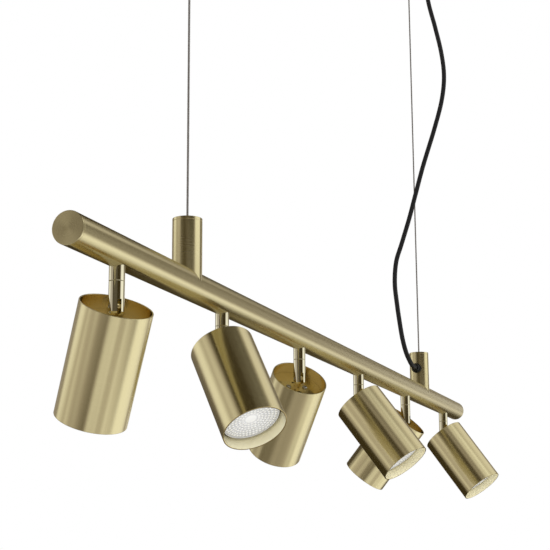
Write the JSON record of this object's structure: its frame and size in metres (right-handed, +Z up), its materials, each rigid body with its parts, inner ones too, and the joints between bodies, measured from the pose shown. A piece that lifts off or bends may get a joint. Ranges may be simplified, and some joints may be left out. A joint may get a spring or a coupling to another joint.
{
  "type": "linear island pendant",
  "caption": "Straight round brass bar on two steel cables, with tube shades under it that swivel and tilt on short forked arms, and a black power cord from one stem.",
  "frame": {"origin": "on the ceiling plane, midway between the axes of the two suspension cables", "axes": "+X along the bar towards the end with the power cord, +Y across the bar, +Z up"},
  "size_m": [1.15, 0.1555, 0.7539],
  "materials": {
    "satin_brass": "satin, brushed round the bar and round each shade",
    "polished_brass": "polished, fine brushed",
    "shade_inside": "satin",
    "zinc_steel": "zinc plated",
    "steel_cable": "stranded, bright",
    "black_plastic": "matte",
    "black_cord": "smooth matte sheath",
    "wire_sheath": "smooth",
    "cream_plastic": "matte",
    "white_ceramic": "unglazed ceramic",
    "lamp_body": "white body with a clear patterned lens"
  },
  "bodies": {
    "fixture": {"bar_tube": "satin_brass", "left_end_cap": "satin_brass", "right_end_cap": "satin_brass", "left_stem": "satin_brass", "right_stem": "satin_brass", "stem_caps": "satin_brass", "stem_nipples": "zinc_steel", "bar_nuts": "zinc_steel", "swivel_collars": "polished_brass", "bar_wiring": "wire_sheath", "left_cable": "steel_cable", "right_cable": "steel_cable", "cable_ferrules": "zinc_steel", "left_cable_grip": "satin_brass", "right_cable_grip": "satin_brass", "anchor_cup": "satin_brass", "anchor_bracket": "zinc_steel", "ceiling_rose": "satin_brass", "rose_bracket": "zinc_steel", "rose_cord_bushing": "black_plastic", "rose_wiring": "wire_sheath", "terminal_block": "cream_plastic", "cord_gland": "black_plastic", "power_cord": "black_cord"},
    "swivel_1": {"arm_1": "polished_brass", "pivot_screw_1": "zinc_steel"},
    "head_1": {"shade_1": "satin_brass", "head_plate_1": "shade_inside", "lampholder_1": "white_ceramic", "bulb_1": "lamp_body"},
    "swivel_2": {"arm_2": "polished_brass", "pivot_screw_2": "zinc_steel"},
    "head_2": {"shade_2": "satin_brass", "head_plate_2": "shade_inside", "lampholder_2": "white_ceramic", "bulb_2": "lamp_body"},
    "swivel_3": {"arm_3": "polished_brass", "pivot_screw_3": "zinc_steel"},
    "head_3": {"shade_3": "satin_brass", "head_plate_3": "shade_inside", "lampholder_3": "white_ceramic", "bulb_3": "lamp_body"},
    "swivel_4": {"arm_4": "polished_brass", "pivot_screw_4": "zinc_steel"},
    "head_4": {"shade_4": "satin_brass", "head_plate_4": "shade_inside", "lampholder_4": "white_ceramic", "bulb_4": "lamp_body"},
    "swivel_5": {"arm_5": "polished_brass", "pivot_screw_5": "zinc_steel"},
    "head_5": {"shade_5": "satin_brass", "head_plate_5": "shade_inside", "lampholder_5": "white_ceramic", "bulb_5": "lamp_body"},
    "swivel_6": {"arm_6": "polished_brass", "pivot_screw_6": "zinc_steel"},
    "head_6": {"shade_6": "satin_brass", "head_plate_6": "shade_inside", "lampholder_6": "white_ceramic", "bulb_6": "lamp_body"}
  },
  "joints": [
    {"name": "swivel_turn_1", "type": "hinge", "parent": "fixture", "child": "swivel_1", "pos_m": [-0.5, 0, -0.62], "axis": [0, 0, 1], "range_deg": [-226, 124]},
    {"name": "head_tilt_1", "type": "hinge", "parent": "swivel_1", "child": "head_1", "pos_m": [-0.5, 0, -0.662], "axis": [0.7771, -0.6293, 0], "range_deg": [-99, 41]},
    {"name": "swivel_turn_2", "type": "hinge", "parent": "fixture", "child": "swivel_2", "pos_m": [-0.3, 0, -0.62], "axis": [0, 0, 1], "range_deg": [-51, 299]},
    {"name": "head_tilt_2", "type": "hinge", "parent": "swivel_2", "child": "head_2", "pos_m": [-0.3, 0, -0.662], "axis": [-0.829, 0.5592, 0], "range_deg": [-104, 36]},
    {"name": "swivel_turn_3", "type": "hinge", "parent": "fixture", "child": "swivel_3", "pos_m": [-0.1, 0, -0.62], "axis": [0, 0, 1], "range_deg": [-221, 129]},
    {"name": "head_tilt_3", "type": "hinge", "parent": "swivel_3", "child": "head_3", "pos_m": [-0.1, 0, -0.662], "axis": [0.7193, -0.6947, 0], "range_deg": [-112, 28]},
    {"name": "swivel_turn_4", "type": "hinge", "parent": "fixture", "child": "swivel_4", "pos_m": [0.1, 0, -0.62], "axis": [0, 0, 1], "range_deg": [-81, 269]},
    {"name": "head_tilt_4", "type": "hinge", "parent": "swivel_4", "child": "head_4", "pos_m": [0.1, 0, -0.662], "axis": [-0.9976, 0.0698, 0], "range_deg": [-107, 33]},
    {"name": "swivel_turn_5", "type": "hinge", "parent": "fixture", "child": "swivel_5", "pos_m": [0.3, 0, -0.62], "axis": [0, 0, 1], "range_deg": [-257, 93]},
    {"name": "head_tilt_5", "type": "hinge", "parent": "swivel_5", "child": "head_5", "pos_m": [0.3, 0, -0.662], "axis": [0.9903, -0.1392, 0], "range_deg": [-111, 29]},
    {"name": "swivel_turn_6", "type": "hinge", "parent": "fixture", "child": "swivel_6", "pos_m": [0.5, 0, -0.62], "axis": [0, 0, 1], "range_deg": [-80, 270]},
    {"name": "head_tilt_6", "type": "hinge", "parent": "swivel_6", "child": "head_6", "pos_m": [0.5, 0, -0.662], "axis": [-0.9962, 0.0872, 0], "range_deg": [-106, 34]}
  ]
}
